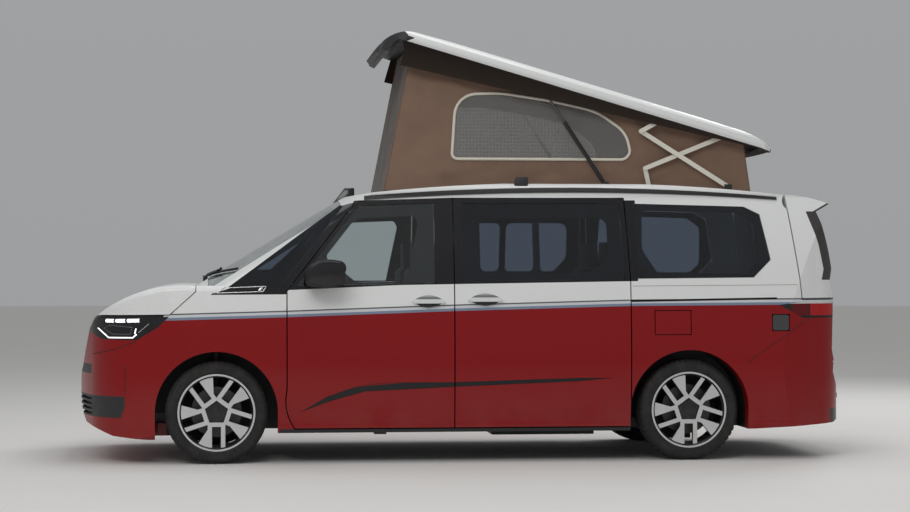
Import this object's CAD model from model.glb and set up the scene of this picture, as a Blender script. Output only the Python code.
"""Looks of a camper van with its pop-up roof raised: finishes, canvas, tyres, lamps and trim.

Metres, in the van's own frame: +X to the tail, +Y to the right side, +Z up, Z = 0 is the road.
"""
import math

import bmesh
import bpy
from mathutils import Matrix, Vector
from mathutils.bvhtree import BVHTree


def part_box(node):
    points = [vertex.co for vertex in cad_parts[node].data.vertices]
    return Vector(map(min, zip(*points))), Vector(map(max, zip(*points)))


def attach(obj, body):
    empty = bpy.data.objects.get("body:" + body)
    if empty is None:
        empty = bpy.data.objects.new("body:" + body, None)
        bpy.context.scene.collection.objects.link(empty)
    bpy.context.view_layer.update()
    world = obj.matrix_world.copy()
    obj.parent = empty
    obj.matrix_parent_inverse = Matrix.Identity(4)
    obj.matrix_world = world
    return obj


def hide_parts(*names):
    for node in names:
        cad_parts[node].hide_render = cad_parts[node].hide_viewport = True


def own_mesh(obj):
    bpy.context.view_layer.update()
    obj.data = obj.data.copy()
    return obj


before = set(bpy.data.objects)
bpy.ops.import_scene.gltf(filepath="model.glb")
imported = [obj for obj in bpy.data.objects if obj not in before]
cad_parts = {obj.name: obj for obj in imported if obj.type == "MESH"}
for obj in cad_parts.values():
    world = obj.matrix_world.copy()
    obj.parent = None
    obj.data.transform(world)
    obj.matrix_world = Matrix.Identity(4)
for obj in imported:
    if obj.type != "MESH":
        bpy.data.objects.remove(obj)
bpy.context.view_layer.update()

# Viewpoint of the photograph
CAMERA_AT = (-1.693, -15.702, 1.282)
CAMERA_YAW = 6.12
CAMERA_PITCH = 0.28
CAMERA_LENS = 89.37
SENSOR_W = 36.0

# Places along the van
FRONT_AXLE_X = -1.6685
REAR_AXLE_X = 1.4555
TYRE_R = 0.334
WHEEL_Y = 0.828
WHEELS = {"front_left": (FRONT_AXLE_X, -1), "front_right": (FRONT_AXLE_X, 1),
          "rear_left": (REAR_AXLE_X, -1), "rear_right": (REAR_AXLE_X, 1)}
SIDES = ((-1, "left"), (1, "right"))

# Colours, linear
RED = (0.25, 0.004, 0.006, 1)
WHITE = (0.78, 0.79, 0.78, 1)
STRIPE_BLUE = (0.20, 0.25, 0.34, 1)
STRIPE_SILVER = (0.62, 0.64, 0.66, 1)
STRIPE_LINE = (0.12, 0.12, 0.125, 1)
GLOSS_BLACK = (0.012, 0.012, 0.014, 1)
BLADE_GREY = (0.055, 0.052, 0.050, 1)
DUST = (0.30, 0.25, 0.19, 1)
FOOT_DARK = (0.012, 0.012, 0.013, 1)
CANVAS = (0.225, 0.143, 0.103, 1)
CANVAS_DARK = (0.075, 0.055, 0.045, 1)
SKIRT_BROWN = (0.026, 0.018, 0.014, 1)
PIPING = (0.72, 0.68, 0.58, 1)
NET_GREY = (0.20, 0.19, 0.18, 1)
LENS_BLACK = (0.015, 0.015, 0.015, 1)
LENS_LINE = (0.6, 0.6, 0.6, 1)
TYRE_DUST = (0.07, 0.062, 0.055, 1)


class Finish:
    """One material, with short ways to add and wire its nodes."""

    def __init__(self, name, **sockets):
        self.material = bpy.data.materials.new(name)
        self.material.use_nodes = True
        self.tree = self.material.node_tree
        self.shader = self.tree.nodes["Principled BSDF"]
        self.set(**sockets)

    def set(self, **sockets):
        for name, value in sockets.items():
            self.wire(value, self.shader.inputs[name.replace("_", " ").title().replace("Ior", "IOR")])

    def wire(self, value, socket):
        if isinstance(value, bpy.types.NodeSocket):
            self.tree.links.new(value, socket)
        elif socket.type == "VECTOR":
            socket.default_value = value[:3]
        else:
            socket.default_value = value

    def add(self, kind, *inputs, **settings):
        node = self.tree.nodes.new("ShaderNode" + kind)
        for name, value in settings.items():
            setattr(node, name, value)
        for index, value in enumerate(inputs):
            if value is not None:
                self.wire(value, node.inputs[index])
        return node

    def place(self):
        """Place on the piece, in the van's frame."""
        return self.add("TexCoord").outputs["Object"]

    def xyz(self, vector):
        return self.add("SeparateXYZ", vector).outputs

    def math(self, operation, a, b=None, clamp=False):
        return self.add("Math", a, b, operation=operation, use_clamp=clamp).outputs[0]

    def over(self, value, limit):
        return self.math("GREATER_THAN", value, limit)

    def under(self, value, limit):
        return self.math("LESS_THAN", value, limit)

    def both(self, *masks):
        """1 where every mask is 1."""
        product = masks[0]
        for mask in masks[1:]:
            product = self.math("MULTIPLY", product, mask)
        return product

    def stretch(self, vector, scale):
        node = self.add("Mapping", vector)
        node.inputs["Scale"].default_value = scale
        return node.outputs[0]

    def noise(self, scale, detail=3.0, vector=None):
        node = self.add("TexNoise", vector or self.place())
        node.inputs["Scale"].default_value = scale
        node.inputs["Detail"].default_value = detail
        return node.outputs["Fac"]

    def span(self, value, low, high, to_low=0.0, to_high=1.0):
        return self.add("MapRange", value, low, high, to_low, to_high).outputs[0]

    def ramp(self, factor, stops, interpolation="LINEAR"):
        node = self.add("ValToRGB", factor)
        node.color_ramp.interpolation = interpolation
        elements = node.color_ramp.elements
        while len(elements) < len(stops):
            elements.new(1.0)
        for element, (position, color) in zip(elements, stops):
            element.position = position
            element.color = color
        return node.outputs["Color"]

    def mix(self, factor, a, b):
        node = self.add("Mix", data_type="RGBA")
        for value, socket in zip((factor, a, b), (node.inputs[0], node.inputs[6], node.inputs[7])):
            self.wire(value, socket)
        return node.outputs[2]

    def mottle(self, color, amount, scale):
        """A colour with a soft uneven tone."""
        dark = tuple(c * (1 - amount) for c in color[:3]) + (1,)
        light = tuple(min(c * (1 + amount), 1) for c in color[:3]) + (1,)
        return self.mix(self.noise(scale), dark, light)

    def bump(self, height, strength, distance):
        node = self.add("Bump", strength, distance)
        self.wire(height, node.inputs["Height"])
        self.wire(node.outputs[0], self.shader.inputs["Normal"])

    def line(self, value, rows, value_range, out_range):
        """A curve through hand-set (value, result) rows."""
        node = self.add("FloatCurve", 1.0, self.span(value, *value_range))
        points = node.mapping.curves[0].points
        while len(points) < len(rows):
            points.new(0.5, 0.5)
        low, high = value_range
        out_low, out_high = out_range
        for point, (v, result) in zip(points, rows):
            point.location = ((v - low) / (high - low), (result - out_low) / (out_high - out_low))
            point.handle_type = "VECTOR"
        node.mapping.update()
        return self.span(node.outputs[0], 0.0, 1.0, out_low, out_high)


# Paint: red below a rising line, a silver and blue stripe on it, white above
PAINT_LINE = [(-2.60, 0.925), (-1.968, 0.935), (-1.212, 0.955), (-0.113, 0.993), (1.064, 1.024),
              (2.60, 1.034)]
BELT_LINE = [(-2.60, 1.100), (-1.192, 1.132), (-0.472, 1.164), (1.125, 1.189), (2.60, 1.208)]
ALONG = (-2.6, 2.6)
LINE_HEIGHTS = (0.8, 1.3)
STRIPE_SPAN = (-0.05, 0.05)
STRIPE_STOPS = [(0.0, RED), (0.5, STRIPE_BLUE), (0.67, STRIPE_SILVER), (0.84, STRIPE_LINE), (0.93, WHITE)]
DUST_HEIGHTS = (0.55, 0.16)
DUST_SHARE = 0.10


def lacquer(finish, color):
    """Clear-coated paint: fine flake, a trace of orange peel, road dust low down."""
    height = finish.xyz(finish.place())[2]
    low = finish.span(height, *DUST_HEIGHTS)
    dust = finish.math("MULTIPLY", low, finish.span(finish.noise(5.0, 6.0), 0.35, 0.8), clamp=True)
    dust = finish.math("MULTIPLY", dust, DUST_SHARE)
    flake = finish.span(finish.noise(900.0, 1.0), 0.3, 0.7, 0.9, 1.1)
    tone = finish.add("VectorMath", color, None, operation="SCALE")
    finish.wire(flake, tone.inputs["Scale"])
    finish.set(base_color=finish.mix(dust, tone.outputs[0], DUST), coat_weight=0.4, coat_roughness=0.03,
               specular_ior_level=0.12, roughness=finish.span(dust, 0.0, 0.4, 0.35, 0.7))
    finish.bump(finish.noise(260.0, 2.0), 0.02, 0.001)
    return finish.material


def body_colours(finish):
    """Two-tone colour with its stripe, by place."""
    x, _, z = finish.xyz(finish.place())[:3]
    line = finish.line(x, PAINT_LINE, ALONG, LINE_HEIGHTS)
    over = finish.span(finish.math("SUBTRACT", z, line), *STRIPE_SPAN)
    return finish.ramp(over, STRIPE_STOPS, "CONSTANT"), x, z


def two_tone_paint():
    finish = Finish("two_tone_paint")
    color, _, _ = body_colours(finish)
    return lacquer(finish, color)


HANDLES = [(-0.395, -0.176, 1.057), (-0.025, 0.203, 1.068)]
HANDLE_HALF_H = 0.040
HANDLE_TONES = [(0.0, (0.03, 0.03, 0.03, 1)), (0.32, (0.70, 0.71, 0.71, 1)), (0.67, (0.20, 0.205, 0.20, 1)),
                (0.86, (0.40, 0.40, 0.40, 1))]


def handle_shades(finish, color, x, z):
    """The colour, with a bright grip and shaded cups at the door handles."""
    for x_low, x_high, z_mid in HANDLES:
        across = finish.span(x, x_low, x_high, -1.0, 1.0)
        lens = finish.math("SUBTRACT", 1.0, finish.math("MULTIPLY", across, across))
        off = finish.math("SUBTRACT", z, z_mid)
        inside = finish.under(finish.math("ABSOLUTE", off), finish.math("MULTIPLY", lens, HANDLE_HALF_H))
        tone = finish.ramp(finish.span(off, -HANDLE_HALF_H, HANDLE_HALF_H), HANDLE_TONES, "CONSTANT")
        color = finish.mix(inside, color, tone)
    return color


GROOVE_TOP = [(-1.123, 0.337), (-0.959, 0.433), (-0.764, 0.499), (-0.419, 0.527), (-0.116, 0.526),
              (0.706, 0.551), (0.936, 0.550)]
GROOVE_FOOT = [(-1.123, 0.337), (-0.944, 0.403), (-0.704, 0.469), (-0.116, 0.496), (0.706, 0.529),
               (0.936, 0.548)]
GROOVE_X = (-1.12, 0.94)
GROOVE_HEIGHTS = (0.3, 0.6)


def inside_band(finish, x, z, foot, top, reach, heights):
    """1 between two lines over a reach along the van, 0 elsewhere."""
    return finish.both(finish.over(z, finish.line(x, foot, reach, heights)),
                       finish.under(z, finish.line(x, top, reach, heights)),
                       finish.over(x, reach[0]), finish.under(x, reach[1]))


def door_paint():
    """Two-tone, with gloss black window frames above the belt and a black groove low down."""
    finish = Finish("door_paint")
    color, x, z = body_colours(finish)
    groove = inside_band(finish, x, z, GROOVE_FOOT, GROOVE_TOP, GROOVE_X, GROOVE_HEIGHTS)
    color = finish.mix(groove, color, GLOSS_BLACK)
    frame_part = finish.over(z, finish.line(x, BELT_LINE, ALONG, LINE_HEIGHTS))
    color = handle_shades(finish, color, x, z)
    return lacquer(finish, finish.mix(frame_part, color, GLOSS_BLACK))


BLADE_EDGE = [(1.15, 2.448), (1.19, 2.448), (1.27, 2.465), (1.43, 2.425), (1.655, 2.345), (1.708, 2.440),
              (1.75, 2.52)]
BLADE_HEIGHTS = (1.15, 1.75)
BLADE_REACH = (2.2, 2.6)
BLADE_W = 0.070
LIP_W = 0.024
BLADE_LOW_Z = 1.196
BLADE_TOP_Z = 1.657
LIP_TOP_Z = 1.735


def gate_paint():
    """Two-tone tailgate with dark blades beside the window and under the spoiler."""
    finish = Finish("gate_paint")
    color, x, z = body_colours(finish)
    edge = finish.line(z, BLADE_EDGE, BLADE_HEIGHTS, BLADE_REACH)
    width = finish.span(finish.over(z, BLADE_TOP_Z), 0.0, 1.0, BLADE_W, LIP_W)
    blade = finish.both(finish.under(finish.math("SUBTRACT", edge, x), width), finish.over(z, BLADE_LOW_Z),
                        finish.under(z, LIP_TOP_Z))
    return lacquer(finish, finish.mix(blade, color, BLADE_GREY))


SLOT_FOOT = [(1.060, 1.050), (2.050, 1.066)]
SLOT_TOP = [(1.060, 1.064), (2.050, 1.080)]
SLOT_X = (1.060, 2.050)
STRIP_REAR_X = 1.112
STRIP_TOP_Z = 1.728


def quarter_paint():
    """Two-tone, with the slide rail's dark slot and a gloss black strip ahead of the rear side window."""
    finish = Finish("quarter_paint")
    color, x, z = body_colours(finish)
    slot = inside_band(finish, x, z, SLOT_FOOT, SLOT_TOP, SLOT_X, LINE_HEIGHTS)
    color = finish.mix(slot, color, GLOSS_BLACK)
    belt = finish.line(x, BELT_LINE, ALONG, LINE_HEIGHTS)
    strip = finish.both(finish.over(z, belt), finish.under(x, STRIP_REAR_X), finish.under(z, STRIP_TOP_Z))
    return lacquer(finish, finish.mix(strip, color, GLOSS_BLACK))


PILLAR_TOP = [(-1.700, 1.105), (-1.600, 1.140), (-1.480, 1.171), (-0.950, 1.561), (-0.920, 1.600),
              (-0.862, 1.686), (-0.785, 1.705), (-0.736, 1.712)]
PILLAR_FOOT = [(-1.700, 1.095), (-0.736, 1.095)]
PILLAR_X = (-1.700, -0.736)
PILLAR_HEIGHTS = (1.0, 1.8)


def pillar_paint():
    """White windscreen pillar, black behind its strip round the fixed side light."""
    finish = Finish("pillar_paint")
    x, _, z = finish.xyz(finish.place())[:3]
    behind = inside_band(finish, x, z, PILLAR_FOOT, PILLAR_TOP, PILLAR_X, PILLAR_HEIGHTS)
    return lacquer(finish, finish.mix(behind, WHITE, GLOSS_BLACK))


WING_FOOT = [(-1.705, 1.101), (-1.192, 1.104)]
WING_TOP = [(-1.705, 1.103), (-1.640, 1.165), (-1.192, 1.190)]
WING_X = (-1.705, -1.192)


def wing_paint():
    """Two-tone, with a black foot under the side light."""
    finish = Finish("wing_paint")
    color, x, z = body_colours(finish)
    foot = inside_band(finish, x, z, WING_FOOT, WING_TOP, WING_X, LINE_HEIGHTS)
    return lacquer(finish, finish.mix(foot, color, GLOSS_BLACK))


def plain_paint(name, color):
    return lacquer(Finish(name), color)


BUMPER_BLACK_Z = 0.925


def bumper_paint():
    """Red, with the dark gap strip under the bonnet's edge."""
    finish = Finish("bumper_paint")
    z = finish.xyz(finish.place())[2]
    return lacquer(finish, finish.mix(finish.over(z, BUMPER_BLACK_Z), RED, GLOSS_BLACK))


FOOT_TOP_Z = 0.33
FOOT_HALF_W = 0.80
FOOT_X = 2.30


def rear_bumper_paint():
    """Red, with a dark foot across the back."""
    finish = Finish("rear_bumper_paint")
    x, y, z = finish.xyz(finish.place())[:3]
    foot = finish.both(finish.under(z, FOOT_TOP_Z), finish.over(x, FOOT_X),
                       finish.under(finish.math("ABSOLUTE", y), FOOT_HALF_W))
    return lacquer(finish, finish.mix(foot, RED, FOOT_DARK))


TAIL_TONES = [(0.0, (0.02, 0.02, 0.02, 1)), (0.22, (0.13, 0.006, 0.008, 1)), (0.55, LENS_BLACK),
              (0.57, (0.42, 0.012, 0.012, 1))]
TAIL_SPAN = (2.06, 2.46)
TAIL_HEIGHTS = (0.958, 1.038)


def tail_lens():
    """Tail lamp: dark tip and foot, deep red and bright red panes, a pale line along the top."""
    finish = Finish("tail_lens", roughness=0.2, specular_ior_level=0.3)
    x, _, z = finish.xyz(finish.place())[:3]
    panes = finish.ramp(finish.span(x, *TAIL_SPAN), TAIL_TONES, "CONSTANT")
    color = finish.mix(finish.under(z, TAIL_HEIGHTS[0]), panes, LENS_BLACK)
    color = finish.mix(finish.over(z, TAIL_HEIGHTS[1]), color, LENS_LINE)
    finish.set(base_color=color)
    finish.bump(finish.noise(90.0, 2.0), 0.05, 0.001)
    return finish.material


def moulded(name, color, rough=0.5, grain=900.0):
    """Moulded plastic with a fine grain."""
    finish = Finish(name)
    finish.set(base_color=finish.mottle(color, 0.12, 6.0),
               roughness=finish.span(finish.noise(12.0), 0.3, 0.7, rough - 0.06, rough + 0.08))
    finish.bump(finish.noise(grain, 2.0), 0.12, 0.0006)
    return finish.material


def metal(name, color, rough, brushed=False):
    finish = Finish(name, metallic=1.0)
    place = finish.place()
    vector = finish.stretch(place, (1.0, 1.0, 40.0)) if brushed else place
    finish.set(base_color=finish.mottle(color, 0.08, 9.0),
               roughness=finish.span(finish.noise(24.0, 2.0, vector), 0.3, 0.7, rough - 0.03, rough + 0.05))
    return finish.material


def glazing(name, color):
    """Tinted pane: clear, glossy, with faint unevenness."""
    finish = Finish(name, transmission_weight=1.0, ior=1.45, roughness=0.0)
    finish.set(base_color=finish.mottle(color, 0.04, 3.0))
    finish.bump(finish.noise(3.0, 1.0), 0.01, 0.002)
    return finish.material


def rubber(name, color=(0.018, 0.018, 0.018, 1)):
    finish = Finish(name, specular_ior_level=0.35)
    dust = finish.span(finish.noise(14.0, 6.0), 0.45, 0.8, 0.0, 0.35)
    finish.set(base_color=finish.mix(dust, color, TYRE_DUST),
               roughness=finish.span(finish.noise(40.0), 0.3, 0.7, 0.6, 0.85))
    finish.bump(finish.noise(700.0, 2.0), 0.2, 0.0008)
    return finish.material


def woven(name, color, thread, sheen=0.15):
    """Cloth with crossed threads and a soft uneven tone."""
    finish = Finish(name, sheen_weight=sheen, roughness=0.85, specular_ior_level=0.2)
    x, y, z = finish.xyz(finish.place())[:3]
    along = finish.math("ADD", x, y)
    warp = finish.math("SINE", finish.math("MULTIPLY", along, thread * 2 * math.pi))
    weft = finish.math("SINE", finish.math("MULTIPLY", z, thread * 2 * math.pi))
    cross = finish.math("MULTIPLY", warp, weft)
    tone = finish.mottle(color, 0.16, 7.0)
    dark = tuple(c * 0.8 for c in color[:3]) + (1,)
    finish.set(base_color=finish.mix(finish.span(cross, -1.0, 1.0, 0.0, 0.25), tone, dark))
    finish.bump(cross, 0.15, 0.0004)
    return finish.material


NET_THREAD = 260.0


def fly_screen():
    """Open net of a tent window."""
    finish = Finish("fly_screen", roughness=0.8)
    finish.set(base_color=finish.mottle(NET_GREY, 0.1, 20.0))
    x, _, z = finish.xyz(finish.place())[:3]
    thread = NET_THREAD * 2 * math.pi
    mesh_x = finish.math("ABSOLUTE", finish.math("SINE", finish.math("MULTIPLY", x, thread)))
    mesh_z = finish.math("ABSOLUTE", finish.math("SINE", finish.math("MULTIPLY", z, thread)))
    hole = finish.math("MULTIPLY", mesh_x, mesh_z)
    finish.set(alpha=finish.span(hole, 0.25, 0.6, 1.0, 0.35))
    return finish.material


def wood(name, color):
    finish = Finish(name, roughness=0.45)
    vector = finish.stretch(finish.place(), (6.0, 6.0, 60.0))
    grain = finish.noise(2.0, 5.0, vector)
    finish.set(base_color=finish.mix(grain, tuple(c * 0.7 for c in color[:3]) + (1,), color))
    finish.bump(grain, 0.1, 0.0005)
    return finish.material


def glowing(name, color, strength):
    finish = Finish(name, emission_color=color, emission_strength=strength, roughness=0.2)
    finish.set(base_color=finish.mottle(color, 0.05, 30.0))
    return finish.material


paint = two_tone_paint()
doors = door_paint()
quarters = quarter_paint()
pillars = pillar_paint()
wing = wing_paint()
white = plain_paint("white_paint", WHITE)
bumper = bumper_paint()
rear_bumper = rear_bumper_paint()
cream = plain_paint("cream_paint", (0.74, 0.71, 0.62, 1))
black_plastic = moulded("black_plastic", (0.02, 0.02, 0.022, 1))
gloss_black = moulded("gloss_black", GLOSS_BLACK, 0.12, 200.0)
grey_plastic = moulded("grey_plastic", (0.16, 0.16, 0.165, 1), 0.6)
dark_plastic = moulded("dark_plastic", (0.05, 0.05, 0.052, 1), 0.5)
steel = metal("bright_steel", (0.62, 0.62, 0.63, 1), 0.16)
dark_steel = metal("dark_steel", (0.16, 0.16, 0.17, 1), 0.22)
cast = metal("cast_metal", (0.24, 0.24, 0.24, 1), 0.55)
machined = metal("machined_alloy", (0.72, 0.72, 0.73, 1), 0.34)
black_alloy = moulded("black_alloy", (0.016, 0.016, 0.017, 1), 0.25, 300.0)
disc_steel = metal("disc_steel", (0.10, 0.10, 0.10, 1), 0.45, True)
clear_glass = glazing("clear_glass", (0.80, 0.86, 0.86, 1))
dark_glass = glazing("dark_glass", (0.34, 0.39, 0.46, 1))
tyre_rubber = rubber("tyre_rubber")
seal_rubber = rubber("seal_rubber", (0.012, 0.012, 0.012, 1))
canvas = woven("canvas", CANVAS, 420.0)
canvas_dark = woven("canvas_dark", CANVAS_DARK, 420.0)
canvas_shade = woven("canvas_shade", SKIRT_BROWN, 420.0, 0.0)
piping_cloth = woven("piping_cloth", PIPING, 500.0)
seat_cloth = woven("seat_cloth", (0.06, 0.062, 0.068, 1), 500.0)
net = fly_screen()
cabinet = wood("cabinet", (0.34, 0.29, 0.23, 1))
lamp_light = glowing("lamp_light", (0.95, 0.97, 1.0, 1), 1.2)
tail_lamp = tail_lens()
reflector = moulded("reflector", (0.32, 0.010, 0.012, 1), 0.25, 500.0)
gate = gate_paint()

# Finish of each solid that shows as it is
FINISHES = {
    doors: ["front_door_left", "front_door_right", "sliding_doors"],
    quarters: ["rear_quarters"],
    paint: ["fuel_flap"],
    wing: ["front_wings"],
    gate: ["tailgate"],
    bumper: ["front_bumper"],
    rear_bumper: ["rear_bumper"],
    white: ["bonnet", "roof_panel"],
    pillars: ["windscreen_frame"],
    cream: ["fold_arms_lower", "fold_arms_upper", "fold_links_upper", "fold_links_lower"],
    black_plastic: ["grille", "wheel_liners", "roof_rails", "bulkhead",
                    "steering_wheel", "fuel_tank", "roof_brackets", "rear_axle", "front_suspension",
                    "front_subframe", "floor_pan"],
    gloss_black: ["headlamps", "strut_barrels"],
    grey_plastic: ["dashboard"],
    dark_steel: ["strut_rods"],
    cast: ["knuckle_left", "knuckle_right", "engine_block"],
    clear_glass: ["windscreen", "door_glass_left", "door_glass_right"],
    dark_glass: ["side_glass", "tailgate_glass"],
    tail_lamp: ["tail_lamps"],
    cabinet: ["kitchen_unit"],
}
for material, names in FINISHES.items():
    for name in names:
        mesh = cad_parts[name].data
        mesh.materials.clear()
        mesh.materials.append(material)


def piece(name, mesh, body, slot, *materials):
    """A finished mesh as a piece that rides on a body."""
    for material in materials:
        mesh.materials.append(material)
    obj = bpy.data.objects.new(name, mesh)
    bpy.context.scene.collection.objects.link(obj)
    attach(obj, body)
    return obj


MERGE = 1e-5
FLAT_ANGLE = math.radians(2)


def copy_of(node, joined=False):
    """A solid's merged faces to work on, with flat neighbours joined if asked."""
    bm = bmesh.new()
    bm.from_mesh(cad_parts[node].data)
    bmesh.ops.remove_doubles(bm, verts=bm.verts, dist=MERGE)
    if joined:
        bmesh.ops.dissolve_limit(bm, angle_limit=FLAT_ANGLE, verts=bm.verts, edges=bm.edges)
    return bm


def everything(bm):
    return bm.verts[:] + bm.edges[:] + bm.faces[:]


def bevel(bm, edges, width, segments):
    bmesh.ops.bevel(bm, geom=edges, offset=width, offset_type="OFFSET", segments=segments, profile=0.5,
                    affect="EDGES", clamp_overlap=True, material=-1)


def sharp_edges(bm, angle):
    return [e for e in bm.edges if len(e.link_faces) == 2 and e.calc_face_angle() > angle]


def tree_of(node):
    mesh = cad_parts[node].data
    return BVHTree.FromPolygons([v.co for v in mesh.vertices], [p.vertices for p in mesh.polygons])


def as_mesh(name, bm, smooth=math.radians(40)):
    """Merged, outward-facing mesh of a bmesh, smooth up to an angle."""
    bmesh.ops.remove_doubles(bm, verts=bm.verts, dist=MERGE)
    bmesh.ops.recalc_face_normals(bm, faces=bm.faces)
    mesh = bpy.data.meshes.new(name)
    bm.to_mesh(mesh)
    bm.free()
    for polygon in mesh.polygons:
        polygon.use_smooth = True
    mesh.set_sharp_from_angle(angle=smooth)
    return mesh


def spun(rows, steps):
    """Ring about the Y axis from a closed profile of (radius, y) rows."""
    bm = bmesh.new()
    verts = [bm.verts.new((r, y, 0)) for r, y in rows]
    edges = [bm.edges.new((a, b)) for a, b in zip(verts, verts[1:] + verts[:1])]
    bmesh.ops.spin(bm, geom=verts + edges, cent=(0, 0, 0), axis=(0, 1, 0), angle=2 * math.pi, steps=steps,
                   use_merge=True, use_duplicate=False)
    return bm


# Tyres: ribs and cross grooves on the tread, rings on the side walls
TREAD_STEPS = 216
TREAD_HALF_W = 0.084
TREAD_DEPTH = 0.0065
TYRE_PROFILE = [(0.250, -0.094), (0.258, -0.104), (0.268, -0.1085), (0.271, -0.1065), (0.296, -0.1125),
                (0.310, -0.109), (0.3135, -0.1055), (0.322, -0.0995), (0.3295, -0.091),
                (0.3325, -TREAD_HALF_W), (0.3338, -0.060), (0.3275, -0.058), (0.3275, -0.050),
                (0.334, -0.048), (0.334, -0.023), (0.3275, -0.021), (0.3275, -0.012), (0.334, -0.010)]
TYRE_PROFILE = TYRE_PROFILE + [(r, -y) for r, y in reversed(TYRE_PROFILE)]
GROOVE_EVERY = 4
SHOULDER_Y = (0.055, 0.096)
SHOULDER_R = 0.329


def tyre(name, x, side):
    bm = spun(TYRE_PROFILE, TREAD_STEPS)
    step = 2 * math.pi / TREAD_STEPS
    for vert in bm.verts:
        radius = math.hypot(vert.co.x, vert.co.z)
        index = round(math.atan2(vert.co.z, vert.co.x) / step + (0.5 if vert.co.y > 0 else 0.0))
        shoulder = SHOULDER_Y[0] < abs(vert.co.y) < SHOULDER_Y[1] and radius > SHOULDER_R
        if shoulder and index % GROOVE_EVERY == 0:
            scale = (radius - TREAD_DEPTH) / radius
            vert.co.x *= scale
            vert.co.z *= scale
    bmesh.ops.translate(bm, verts=bm.verts, vec=(x, side * WHEEL_Y, TYRE_R))
    mesh = as_mesh("tyre_mesh", bm, math.radians(28))
    tyre_piece = piece(f"tyre_{name}_tread", mesh, f"wheel_{name}", "tyre_rubber", tyre_rubber)
    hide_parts(f"tyre_{name}")


# Rims: the solids' own faces, machined on their fronts and black in the pockets
FRONT_FACE = 0.75
FACE_DEPTH = 0.088
DISC_OUT = (-0.03, 0.004)


def rim(name, side):
    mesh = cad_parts[f"rim_{name}"].data.copy()
    mesh.materials.clear()
    for polygon in mesh.polygons:
        out = polygon.center.y * side - WHEEL_Y
        front = polygon.normal.y * side > FRONT_FACE and out > FACE_DEPTH
        disc = abs(polygon.normal.y) > FRONT_FACE and DISC_OUT[0] < out < DISC_OUT[1]
        polygon.material_index = 1 if front else 2 if disc else 0
    rim_piece = piece(f"rim_{name}_faces", mesh, f"wheel_{name}", "alloy", black_alloy, machined, disc_steel)
    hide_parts(f"rim_{name}")


for name, (axle_x, side) in WHEELS.items():
    tyre(name, axle_x, side)
    rim(name, side)


CORNER_STEPS = 6


def rounded(rows):
    """Closed line through (u, v, corner radius) rows, with arcs at the corners."""
    points = []
    count = len(rows)
    for i, (u, v, radius) in enumerate(rows):
        corner = Vector((u, v))
        before = (Vector(rows[i - 1][:2]) - corner).normalized()
        after = (Vector(rows[(i + 1) % count][:2]) - corner).normalized()
        half = before.angle(after) / 2
        reach = radius / math.tan(half)
        start, end = corner + before * reach, corner + after * reach
        centre = corner + (before + after).normalized() * (radius / math.sin(half))
        for k in range(CORNER_STEPS + 1):
            spoke = (start - centre).lerp(end - centre, k / CORNER_STEPS)
            points.append(centre + spoke.normalized() * radius)
    return points


def tube(name, points, radius, closed, body, slot, material, sides=2):
    """Round bead along points."""
    curve = bpy.data.curves.new(name, "CURVE")
    curve.dimensions = "3D"
    curve.bevel_depth = radius
    curve.bevel_resolution = sides
    spline = curve.splines.new("POLY")
    spline.points.add(len(points) - 1)
    for target, point in zip(spline.points, points):
        target.co = (*point, 1)
    spline.use_cyclic_u = closed
    holder = bpy.data.objects.new(name, curve)
    bpy.context.scene.collection.objects.link(holder)
    bpy.context.view_layer.update()
    mesh = bpy.data.meshes.new_from_object(holder.evaluated_get(bpy.context.evaluated_depsgraph_get()))
    bpy.data.objects.remove(holder)
    for polygon in mesh.polygons:
        polygon.use_smooth = True
    return piece(name, mesh, body, slot, material)


SKIN = ["front_bumper", "headlamps", "front_wings", "windscreen_frame", "bonnet", "grille", "side_glass",
        "rear_quarters", "rear_bumper", "tail_lamps"]
skin_trees = [tree_of(node) for node in SKIN]
GAP_STEPS = (0.0, 0.008, -0.008, 0.016, -0.016, 0.024, -0.024)
RAY_FROM_Y = 3.0
RAY_FROM_X = 4.0


def on_skin(x, z, side):
    """Outermost point of the body's side at a place; over a gap, level with the nearest panel's edge."""
    for step in GAP_STEPS:
        start = Vector((x, side * RAY_FROM_Y, z + step))
        hits = [tree.ray_cast(start, Vector((0, -side, 0)))[0] for tree in skin_trees]
        reach = [abs(hit.y) for hit in hits if hit]
        if reach:
            return Vector((x, side * max(reach), z))
    raise ValueError(f"no skin at {x:.3f}, {z:.3f}")


def between(rows, step=0.02):
    """Points along a line of (x, z) corners, one about every step."""
    points = []
    for a, b in zip(rows, rows[1:]):
        a, b = Vector(a), Vector(b)
        count = max(1, round((b - a).length / step))
        points += [a.lerp(b, k / count) for k in range(count)]
    return points + [Vector(rows[-1])]


SHARP_ANGLE = math.radians(35)


def softened(node, body, slot, material, width):
    """A copy of a solid with its sharp edges rounded, in the solid's place."""
    bm = copy_of(node, joined=True)
    bevel(bm, sharp_edges(bm, SHARP_ANGLE), width, 4)
    copy = piece(f"{node}_soft", as_mesh(f"{node}_soft", bm, math.radians(50)), body, slot, material)
    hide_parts(node)
    return copy


# Pop-up roof: the shell with its front lip trimmed to length
ROOF_TURN = math.radians(16.2)
ROOF_REAR = (2.090, 2.062)
ROOF_LIP_X = -2.55
SKIRT_TOP = -0.004
LIP_CUT_Z = -0.095
LIP_REAR_X = -2.62
UNDERSIDE = -0.25
CUT_FIT = 1e-4


def level(point):
    """Place on the roof as it was drawn level, from its place when raised."""
    dx, dz = point.x - ROOF_REAR[0], point.z - ROOF_REAR[1]
    cosine, sine = math.cos(ROOF_TURN), math.sin(ROOF_TURN)
    return dx * cosine - dz * sine, dx * sine + dz * cosine


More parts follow.
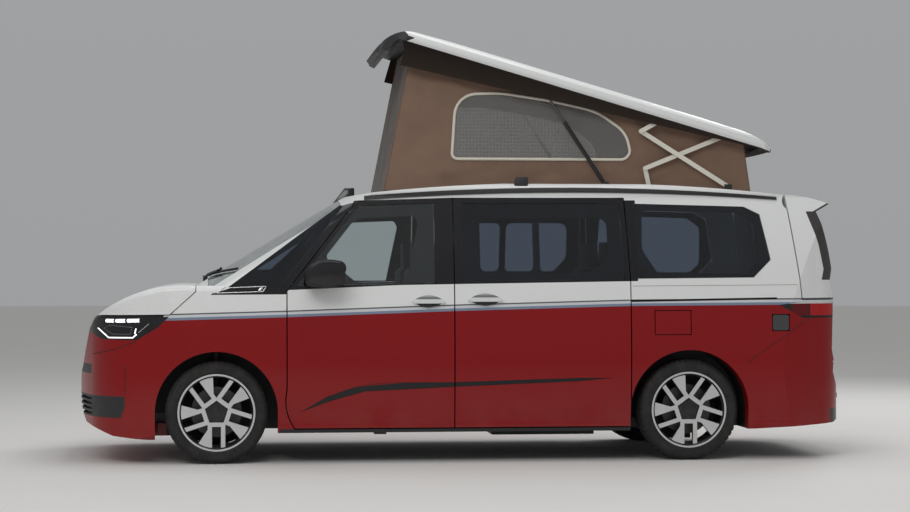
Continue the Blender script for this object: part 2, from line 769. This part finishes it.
def roof_cover():
    """White shell with a black front lip, over a skirt and lining in shaded canvas."""
    bm = copy_of("pop_roof_shell")
    lip = [f for f in bm.faces if all(level(v.co)[0] < LIP_REAR_X for v in f.verts)]
    geom = lip + list({e for f in lip for e in f.edges}) + list({v for f in lip for v in f.verts})
    down = Vector((math.sin(ROOF_TURN), 0, math.cos(ROOF_TURN))) * -1
    at = Vector((ROOF_REAR[0], 0, ROOF_REAR[1])) - down * LIP_CUT_Z
    bmesh.ops.bisect_plane(bm, geom=geom, plane_co=at, plane_no=down, clear_outer=True)
    on_cut = {v for v in bm.verts if abs((v.co - at).dot(down)) < CUT_FIT}
    rim_edges = [e for e in bm.edges if e.is_boundary and on_cut.issuperset(e.verts)]
    bmesh.ops.holes_fill(bm, edges=rim_edges, sides=0)
    mesh = as_mesh("pop_roof_cover", bm, math.radians(30))
    for polygon in mesh.polygons:
        x, z = level(polygon.center)
        inside = polygon.normal.z < UNDERSIDE
        skirt = z < SKIRT_TOP and x > LIP_REAR_X
        polygon.material_index = 1 if x < ROOF_LIP_X and not skirt else 2 if skirt or inside else 0
    cover = piece("pop_roof_cover", mesh, "pop_roof", "paint_white", white, black_plastic, canvas_shade)
    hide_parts("pop_roof_shell")


roof_cover()

# Mirrors and seats with their edges rounded
MIRROR_EDGE = 0.018
SEAT_EDGE = 0.045
for side, word in SIDES:
    softened(f"mirror_{word}", f"front_door_{word}", "black_plastic", gloss_black, MIRROR_EDGE)
for node in ("front_seats", "rear_seats"):
    softened(node, "body", "seat_fabric", seat_cloth, SEAT_EDGE)

# Lamps of the nose, seams of the panels and the trim at the pillar foot: beads on the skin
LED_BLOCKS = [((-2.382, 0.932), (-2.330, 0.932)), ((-2.317, 0.932), (-2.256, 0.933)),
              ((-2.243, 0.933), (-2.165, 0.935))]
LED_LINE = [(-2.440, 0.882), (-2.368, 0.822), (-2.209, 0.823), (-2.183, 0.846)]
LED_TIP = [(-2.172, 0.856), (-2.104, 0.914)]
LED_POST = [(-2.196, 0.848), (-2.188, 0.884)]
LAMP_PANE = [(-2.400, 0.884), (-2.345, 0.846), (-2.225, 0.846), (-2.212, 0.890), (-2.360, 0.902),
             (-2.400, 0.884)]
REAR_SEAM = [(2.270, 0.938), (1.885, 0.680), (1.845, 0.640)]
QUARTER_CREASE = [(1.075, 1.156), (2.190, 1.164)]
BUMPER_SEAM = [(-2.481, 0.709), (-2.331, 0.745), (-2.187, 0.800)]
BUMPER_CREASE = [(-2.262, 0.455), (-2.262, 0.640)]
TRIM_BLADE = [(-1.668, 1.113), (-1.618, 1.146), (-1.345, 1.156), (-1.368, 1.122)]
TRIM_END = [(-1.394, 1.126), (-1.374, 1.150)]
# name, line, radius, slot, finish
BEADS = [("led_line", LED_LINE, 0.0042, "lamp_clear", lamp_light),
         ("led_tip", LED_TIP, 0.0026, "lamp_clear", steel),
         ("led_post", LED_POST, 0.0042, "lamp_clear", lamp_light),
         ("lamp_pane", LAMP_PANE, 0.0030, "lamp_clear", dark_steel),
         ("rear_seam", REAR_SEAM, 0.0020, "black_plastic", seal_rubber),
         ("quarter_crease", QUARTER_CREASE, 0.0012, "black_plastic", dark_plastic),
         ("bumper_seam", BUMPER_SEAM, 0.0022, "black_plastic", seal_rubber),
         ("bumper_crease", BUMPER_CREASE, 0.0022, "black_plastic", seal_rubber),
         ("trim_blade", TRIM_BLADE + TRIM_BLADE[:1], 0.0035, "bright_steel", steel),
         ("trim_end", TRIM_END, 0.0110, "bright_steel", steel)]
BEADS += [(f"led_block_{i}", line, 0.0115, "lamp_clear", lamp_light) for i, line in enumerate(LED_BLOCKS)]
for name, rows, radius, slot, material in BEADS:
    for side, word in SIDES:
        points = [on_skin(p.x, p.y, side) for p in between(rows)]
        tube(f"{name}_{word}", points, radius, False, "body", slot, material)

# Black borders behind the side windows: outline and clear parts, by (x, z, corner radius)
WINDOWS = {
    "front": ([(-1.148, 1.160, 0.01), (-0.736, 1.687, 0.02), (-0.243, 1.703, 0.01), (-0.243, 1.178, 0.01)],
              [[(-0.962, 1.346, 0.03), (-0.758, 1.603, 0.05), (-0.372, 1.619, 0.03), (-0.349, 1.573, 0.03),
                (-0.425, 1.182, 0.01), (-0.758, 1.182, 0.01)]]),
    "slide": ([(-0.060, 1.188, 0.01), (-0.060, 1.706, 0.01), (0.998, 1.706, 0.01), (1.020, 1.200, 0.01)],
              [[(0.061, 1.250, 0.04), (0.413, 1.250, 0.04), (0.413, 1.605, 0.04), (0.061, 1.605, 0.04)],
               [(0.459, 1.250, 0.03), (0.820, 1.250, 0.03), (0.913, 1.350, 0.04), (0.913, 1.605, 0.06),
                (0.459, 1.605, 0.04)]]),
    "quarter": ([(1.114, 1.206, 0.02), (1.098, 1.704, 0.02), (1.849, 1.686, 0.04), (1.954, 1.634, 0.05),
                 (2.014, 1.331, 0.04), (1.895, 1.214, 0.03)],
                [[(1.156, 1.663, 0.03), (1.145, 1.398, 0.10), (1.246, 1.243, 0.05), (1.854, 1.242, 0.05),
                  (1.922, 1.310, 0.05), (1.911, 1.576, 0.06), (1.809, 1.643, 0.06)]]),
    "light": ([(-1.597, 1.148, 0.004), (-1.263, 1.144, 0.01), (-0.838, 1.685, 0.004), (-0.862, 1.688, 0.004)],
              [[(-1.414, 1.262, 0.006), (-1.040, 1.499, 0.003), (-1.030, 1.490, 0.003),
                (-1.270, 1.264, 0.012)]]),
}
UPPER_SIDE = [(0.938, 1.165), (0.885, 1.460), (0.803, 1.753)]
BORDER_IN = 0.0135
BORDER_CUTS = 12


def circle_through(a, b, c):
    """Centre and radius of the circle through three points."""
    a, b, c = Vector(a), Vector(b), Vector(c)
    matrix = Matrix(((2 * (b.x - a.x), 2 * (b.y - a.y)), (2 * (c.x - a.x), 2 * (c.y - a.y))))
    start = a.length_squared
    centre = matrix.inverted() @ Vector((b.length_squared - start, c.length_squared - start))
    return centre, (a - centre).length


SIDE_CENTRE, SIDE_RADIUS = circle_through(*UPPER_SIDE)


def loop_edges(bm, points):
    verts = [bm.verts.new(p) for p in points]
    return [bm.edges.new((a, b)) for a, b in zip(verts, verts[1:] + verts[:1])]


def window_border(name, outer, holes, side, body):
    """Thin panel in the curve of the body side, with holes."""
    bm = bmesh.new()
    edges = []
    for rows in [outer] + holes:
        edges += loop_edges(bm, [(p.x, 0, p.y) for p in rounded(rows)])
    bmesh.ops.triangle_fill(bm, edges=edges, use_beauty=True, normal=(0, side, 0))
    heights = [v.co.z for v in bm.verts]
    for k in range(1, BORDER_CUTS):
        z = min(heights) + (max(heights) - min(heights)) * k / BORDER_CUTS
        bmesh.ops.bisect_plane(bm, geom=everything(bm), plane_co=(0, 0, z), plane_no=(0, 0, 1))
    for vert in bm.verts:
        reach = math.sqrt(SIDE_RADIUS ** 2 - (vert.co.z - SIDE_CENTRE.y) ** 2)
        vert.co.y = side * (SIDE_CENTRE.x + reach - BORDER_IN)
    piece(name, as_mesh(name, bm, math.pi), body, "black_plastic", gloss_black)


for name, (outer, holes) in WINDOWS.items():
    for side, word in SIDES:
        body = f"front_door_{word}" if name == "front" else "body"
        window_border(f"window_border_{name}_{word}", outer, holes, side, body)


def block(name, low, high, edge, taper, body, slot, material):
    """Box with rounded edges; the taper scales its top about its rear edge."""
    bm = bmesh.new()
    bmesh.ops.create_cube(bm, size=1.0)
    low, high = Vector(low), Vector(high)
    for vert in bm.verts:
        share = vert.co + Vector((0.5, 0.5, 0.5))
        if share.z > 0.5:
            share.x = 1 - (1 - share.x) * taper[0]
            share.y = 0.5 + (share.y - 0.5) * taper[1]
        vert.co = [a + (b - a) * t for a, b, t in zip(low, high, share)]
    bevel(bm, bm.edges[:], edge, 3)
    return piece(name, as_mesh(name, bm), body, slot, material)


# Antenna fin and the latch blocks at the roof's edge
FIN_LOW, FIN_HIGH = (-0.872, -0.030, 1.715), (-0.715, 0.030, 1.832)
FIN_EDGE = 0.008
FIN_TAPER = (0.42, 0.35)
LATCH_X, LATCH_Z = (0.300, 0.398), (1.812, 1.884)
LATCH_Y = 0.757
LATCH_HALF_W = 0.022
LATCH_EDGE = 0.010
LATCH_TAPER = (0.8, 0.8)
block("antenna_fin", FIN_LOW, FIN_HIGH, FIN_EDGE, FIN_TAPER, "body", "black_plastic", gloss_black)
for side, word in SIDES:
    low = (LATCH_X[0], side * LATCH_Y - LATCH_HALF_W, LATCH_Z[0])
    high = (LATCH_X[1], side * LATCH_Y + LATCH_HALF_W, LATCH_Z[1])
    block(f"roof_latch_{word}", low, high, LATCH_EDGE, LATCH_TAPER, "body", "black_plastic", black_plastic)

# Inlet flap with rounded corners
FLAP_CORNER = 0.018
ACROSS = 0.9
bm = copy_of("inlet_flap", joined=True)
corners = [e for e in bm.edges if abs((e.verts[1].co - e.verts[0].co).normalized().y) > ACROSS]
bevel(bm, corners, FLAP_CORNER, 6)
flap = piece("inlet_flap_cover", as_mesh("inlet_flap_cover", bm), "inlet_flap", "black_plastic", dark_plastic)
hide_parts("inlet_flap")

# Wipers: name, pane, way it faces, blade and arm by their (y, z) ends, body
WIPERS = [("wiper_left", "windscreen", -1, [(-0.70, 1.262), (0.02, 1.215)],
           [(-0.06, 1.205), (-0.36, 1.240)], "body"),
          ("wiper_right", "windscreen", -1, [(0.02, 1.250), (0.66, 1.255)],
           [(0.62, 1.205), (0.34, 1.253)], "body"),
          ("rear_wiper", "tailgate_glass", 1, [(-0.42, 1.270), (0.16, 1.268)],
           [(0.02, 1.225), (-0.14, 1.268)], "tailgate")]
WIPER_STEP = 0.06
WIPER_BLADE_R, WIPER_BLADE_LIFT = 0.0075, 0.012
WIPER_ARM_R, WIPER_ARM_LIFT = 0.0085, 0.024
WIPER_PIVOT_R, WIPER_PIVOT_IN, WIPER_PIVOT_OUT = 0.020, 0.02, 0.012


def on_end(tree, y, z, facing, lift):
    """Point over the nose or tail surface at a place across and up, lifted off along its normal."""
    hit, normal, _, _ = tree.ray_cast(Vector((facing * RAY_FROM_X, y, z)), Vector((-facing, 0, 0)))
    return hit + normal * (lift if normal.x * facing > 0 else -lift)


def wiper(name, node, facing, blade, arm, body):
    """Blade, arm and pivot over a pane."""
    tree = tree_of(node)
    points = [on_end(tree, p.x, p.y, facing, WIPER_BLADE_LIFT) for p in between(blade, WIPER_STEP)]
    tube(f"{name}_blade", points, WIPER_BLADE_R, False, body, "black_plastic", seal_rubber)
    points = [on_end(tree, p.x, p.y, facing, WIPER_ARM_LIFT) for p in between(arm, WIPER_STEP)]
    tube(f"{name}_arm", points, WIPER_ARM_R, False, body, "black_plastic", black_plastic)
    ends = [points[0] - Vector((facing * WIPER_PIVOT_IN, 0, 0)),
            points[0] + Vector((facing * WIPER_PIVOT_OUT, 0, 0))]
    tube(f"{name}_pivot", ends, WIPER_PIVOT_R, False, body, "black_plastic", black_plastic, 4)


for row in WIPERS:
    wiper(*row)

# Panels on the tail: name, solid, y and z ends, thickness, body, slot, finish
TAIL_PANELS = [
    ("gate_lamp", "tailgate", (0.46, 0.742), (0.952, 1.030), 0.005, "tailgate", "lamp_red", tail_lamp),
    ("reflector", "rear_bumper", (0.50, 0.68), (0.395, 0.425), 0.004, "body", "lamp_red", reflector),
]
GRIP = ("gate_grip", "tailgate", (-0.46, 0.46), (0.974, 1.008), 0.004, "tailgate", "black_plastic",
        gloss_black)
TAIL_REACH = (2.2, 2.7)
BACK = Vector((1, 0, 0))
FACES_BACK = 0.35


def patch(name, node, across, heights, thickness, body, slot, material):
    """Panel cut from a solid's rear skin between its ends, raised off it."""
    bm = copy_of(node)
    bmesh.ops.delete(bm, geom=[f for f in bm.faces if f.normal.dot(BACK) < FACES_BACK], context="FACES")
    low, high = zip(TAIL_REACH, across, heights)
    for axis in range(3):
        normal = Vector([1.0 if k == axis else 0.0 for k in range(3)])
        for corner, way in ((low, -1), (high, 1)):
            bmesh.ops.bisect_plane(bm, geom=everything(bm), plane_co=corner, plane_no=normal * way,
                                   clear_outer=True)
    raised = bmesh.ops.extrude_face_region(bm, geom=bm.faces[:], use_keep_orig=True)["geom"]
    verts = [g for g in raised if isinstance(g, bmesh.types.BMVert)]
    bmesh.ops.translate(bm, verts=verts, vec=BACK * thickness)
    piece(name, as_mesh(name, bm), body, slot, material)


for side, word in SIDES:
    for name, node, ends, *rest in TAIL_PANELS:
        patch(f"{name}_{word}", node, sorted(side * end for end in ends), *rest)
patch(*GRIP)

# Wheel bolts and caps
BOLTS = 5
BOLT_CIRCLE = 0.054
BOLT_R, BOLT_LEN = 0.010, 0.016
CAP_R, CAP_LEN, CAP_OUT = 0.031, 0.014, 0.004
HUB_FACE = 0.080
CAP_EDGE = 0.002
CAP_ANGLE = 1.2


def plug(bm, at, radius, length, segments):
    """Round or many-sided plug across the wheel."""
    turned = Matrix.Translation(at) @ Matrix.Rotation(math.pi / 2, 4, "X")
    bmesh.ops.create_cone(bm, cap_ends=True, segments=segments, radius1=radius, radius2=radius, depth=length,
                          matrix=turned)


for name, (axle_x, side) in WHEELS.items():
    bm = bmesh.new()
    for k in range(BOLTS):
        angle = 2 * math.pi * (k + 0.5) / BOLTS
        x, z = axle_x + BOLT_CIRCLE * math.sin(angle), TYRE_R - BOLT_CIRCLE * math.cos(angle)
        plug(bm, Vector((x, side * (WHEEL_Y + HUB_FACE), z)), BOLT_R, BOLT_LEN, 6)
    plug(bm, Vector((axle_x, side * (WHEEL_Y + HUB_FACE + CAP_OUT), TYRE_R)), CAP_R, CAP_LEN, 40)
    bevel(bm, sharp_edges(bm, CAP_ANGLE), CAP_EDGE, 2)
    piece(f"wheel_bolts_{name}", as_mesh("wheel_bolts", bm), f"wheel_{name}", "alloy", black_alloy)

# Canvas of the bed room
TENT_LOW, TENT_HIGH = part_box("tent")
TENT_TOP_FRONT_X = -0.366
TENT_TOP_REAR = (1.8985, 2.1197)
TENT_HALF_W = TENT_HIGH.y
TENT_SIDE = [(TENT_LOW.x, TENT_LOW.z), (TENT_HIGH.x, TENT_LOW.z), TENT_TOP_REAR,
             (TENT_TOP_FRONT_X, TENT_HIGH.z)]
TENT_WINDOW = [(-0.100, 2.008, 0.035), (1.128, 2.008, 0.06), (1.085, 2.190, 0.18), (0.885, 2.335, 0.45),
               (0.55, 2.406, 0.9), (0.235, 2.452, 0.7), (-0.072, 2.440, 0.15)]
CLOTH_IN = 0.004
PIPING_R, PIPING_OUT = 0.010, 0.006
WALL_RINGS = 22
WALL_POINTS = 160
WALL_FADE = 9
END_GRID = (48, 36)
END_FADE = 8
# Folds: waves along and up, depth
FOLDS = [(21, 9, 0.003), (13, -31, 0.003)]
END_FOLDS = [(9, 7, 0.003), (23, -5, 0.002)]
FAN_AT = (-2.2, 1.5)
FAN_WAVES, FAN_DEPTH = 34, 0.005
CREASE_DEPTH = 0.008
NEAR = 1e-6


def along_outline(corners, share):
    """Point at a share of the way round a closed outline."""
    runs = [(Vector(b) - Vector(a)).length for a, b in zip(corners, corners[1:] + corners[:1])]
    left = share * sum(runs)
    for corner, after, run in zip(corners, corners[1:] + corners[:1], runs):
        if left <= run:
            return Vector(corner).lerp(Vector(after), left / run)
        left -= run
    return Vector(corners[0])


def folds(rows, along, up):
    return sum(math.sin(a * along + b * up) * depth for a, b, depth in rows)


def wrinkle(x, z):
    """How far the canvas bows out, in metres: soft folds that fan from the corners."""
    fan = math.sin(FAN_WAVES * math.atan2(z - FAN_AT[1], x - FAN_AT[0])) * FAN_DEPTH
    crease = (1 - abs(math.sin(17 * x + 13 * z + 2 * math.sin(5 * z)))) ** 4 * CREASE_DEPTH
    return fan + crease + folds(FOLDS, x, z)


def resample(points, count):
    corners = [tuple(p) for p in points]
    return [along_outline(corners, i / count) for i in range(count)]


def out_to_side(centre, ray):
    """Where a ray from inside the tent's side leaves it."""
    reach = []
    for a, b in zip(TENT_SIDE, TENT_SIDE[1:] + TENT_SIDE[:1]):
        start, run = Vector(a) - centre, Vector(b) - Vector(a)
        det = ray.y * run.x - ray.x * run.y
        if abs(det) > NEAR ** 2:
            t = (start.y * run.x - start.x * run.y) / det
            u = (ray.x * start.y - ray.y * start.x) / det
            if t > 0 and -NEAR <= u <= 1 + NEAR:
                reach.append(t)
    return centre + ray * min(reach)


def tent_wall(side):
    """Canvas side round its window, with the window's line."""
    window = resample(rounded(TENT_WINDOW), WALL_POINTS)
    centre = sum(window, Vector((0, 0))) / len(window)
    rim = [out_to_side(centre, (p - centre).normalized()) for p in window]
    for corner in TENT_SIDE:
        nearest = min(range(len(rim)), key=lambda i: (rim[i] - Vector(corner)).length)
        rim[nearest] = Vector(corner)
    bm = bmesh.new()
    flat_y = side * TENT_HALF_W - side * CLOTH_IN
    inner = loop_edges(bm, [(p.x, flat_y, p.y) for p in window])
    outer = loop_edges(bm, [(p.x, flat_y, p.y) for p in rim])
    spokes = bmesh.ops.bridge_loops(bm, edges=inner + outer)["edges"]
    bmesh.ops.subdivide_edges(bm, edges=spokes, cuts=WALL_RINGS, use_grid_fill=True)
    for vert in bm.verts:
        q = Vector((vert.co.x, vert.co.z))
        nearest = min((q - p).length for p in window + rim)
        vert.co.y = flat_y + side * wrinkle(q.x, q.y) * min(nearest * WALL_FADE, 1.0)
    return bm, [Vector((p.x, flat_y, p.y)) for p in window]


def squash_tent(obj):
    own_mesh(obj)


for side, word in SIDES:
    bm, window_line = tent_wall(side)
    wall = piece(f"tent_wall_{word}", as_mesh("tent_wall", bm, math.pi), "body", "canvas", canvas)
    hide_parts("tent")
    squash_tent(wall)
    bm = bmesh.new()
    bmesh.ops.triangle_fill(bm, edges=loop_edges(bm, window_line), use_beauty=True)
    screen = piece(f"tent_screen_{word}", as_mesh("tent_screen", bm), "body", "canvas", net)
    squash_tent(screen)
    line = [p + Vector((0, side * PIPING_OUT, 0)) for p in window_line]
    bead = tube(f"tent_piping_{word}", line, PIPING_R, True, "body", "canvas", piping_cloth)
    squash_tent(bead)

# name, foot, top, way out
TENT_ENDS = [("front", TENT_SIDE[0], TENT_SIDE[3], -1), ("rear", TENT_SIDE[1], TENT_SIDE[2], 1)]
for end, foot, top, out in TENT_ENDS:
    foot, top = Vector(foot), Vector(top)
    bm = bmesh.new()
    bmesh.ops.create_grid(bm, x_segments=END_GRID[0], y_segments=END_GRID[1], size=0.5)
    for vert in bm.verts:
        u, v = vert.co.x + 0.5, vert.co.y + 0.5
        base = foot.lerp(top, v)
        y = (2 * u - 1) * TENT_HALF_W
        bow = folds(END_FOLDS, y, base.y) * min(min(u, 1 - u, v, 1 - v) * END_FADE, 1.0)
        vert.co = (base.x - out * CLOTH_IN + out * bow, y, base.y)
    wall = piece(f"tent_wall_{end}", as_mesh("tent_end", bm, math.pi), "body", "canvas", canvas_dark)
    squash_tent(wall)

# Stage, light and camera
FLOOR_R = 60.0
FLOOR_TONE = (0.72, 0.71, 0.69, 1)
floor_bm = bmesh.new()
bmesh.ops.create_circle(floor_bm, cap_ends=True, segments=96, radius=FLOOR_R)
floor_mesh = bpy.data.meshes.new("floor")
floor_bm.to_mesh(floor_mesh)
floor_bm.free()
floor_finish = Finish("floor", roughness=0.8)
floor_finish.set(base_color=floor_finish.mottle(FLOOR_TONE, 0.02, 1.5))
floor_mesh.materials.append(floor_finish.material)
floor = bpy.data.objects.new("floor", floor_mesh)
bpy.context.scene.collection.objects.link(floor)

SKY = [(0.0, (0.55, 0.55, 0.55, 1)), (0.5, (0.80, 0.82, 0.84, 1)), (0.62, (0.86, 0.88, 0.90, 1)),
       (1.0, (1.0, 1.0, 1.0, 1))]
SKY_STRENGTH = 0.42
world = bpy.data.worlds.new("studio")
bpy.context.scene.world = world
world.use_nodes = True
sky_nodes, sky_links = world.node_tree.nodes, world.node_tree.links
direction = sky_nodes.new("ShaderNodeTexCoord")
split = sky_nodes.new("ShaderNodeSeparateXYZ")
height = sky_nodes.new("ShaderNodeMapRange")
height.inputs["From Min"].default_value = -1.0
tones = sky_nodes.new("ShaderNodeValToRGB")
while len(tones.color_ramp.elements) < len(SKY):
    tones.color_ramp.elements.new(1.0)
for element, (position, color) in zip(tones.color_ramp.elements, SKY):
    element.position = position
    element.color = color
sky_links.new(direction.outputs["Generated"], split.inputs[0])
sky_links.new(split.outputs[2], height.inputs[0])
sky_links.new(height.outputs[0], tones.inputs[0])
sky_links.new(tones.outputs[0], sky_nodes["Background"].inputs["Color"])
sky_nodes["Background"].inputs["Strength"].default_value = SKY_STRENGTH

# name, place, aim, size, power
LAMPS = [("key", (-4.0, -9.0, 7.5), (0.0, 0.0, 0.9), (7.0, 3.5), 330.0),
         ("top", (0.5, 0.0, 8.5), (0.0, 0.0, 0.0), (8.0, 4.0), 230.0),
         ("rim", (6.0, 6.0, 6.0), (0.5, 0.0, 1.5), (4.0, 3.0), 200.0)]
for name, at, aim, size, power in LAMPS:
    light = bpy.data.lights.new(name, "AREA")
    light.shape = "RECTANGLE"
    light.size, light.size_y = size
    light.energy = power
    lamp = bpy.data.objects.new(name, light)
    bpy.context.scene.collection.objects.link(lamp)
    lamp.location = at
    lamp.rotation_euler = (Vector(aim) - Vector(at)).to_track_quat("-Z", "Y").to_euler()

camera_data = bpy.data.cameras.new("camera")
camera_data.sensor_fit = "HORIZONTAL"
camera_data.sensor_width = SENSOR_W
camera_data.lens = CAMERA_LENS
camera = bpy.data.objects.new("camera", camera_data)
bpy.context.scene.collection.objects.link(camera)
camera.location = CAMERA_AT
camera.rotation_euler = (math.radians(90 + CAMERA_PITCH), 0, math.radians(-CAMERA_YAW))
bpy.context.scene.camera = camera
bpy.context.scene.view_settings.view_transform = "Standard"
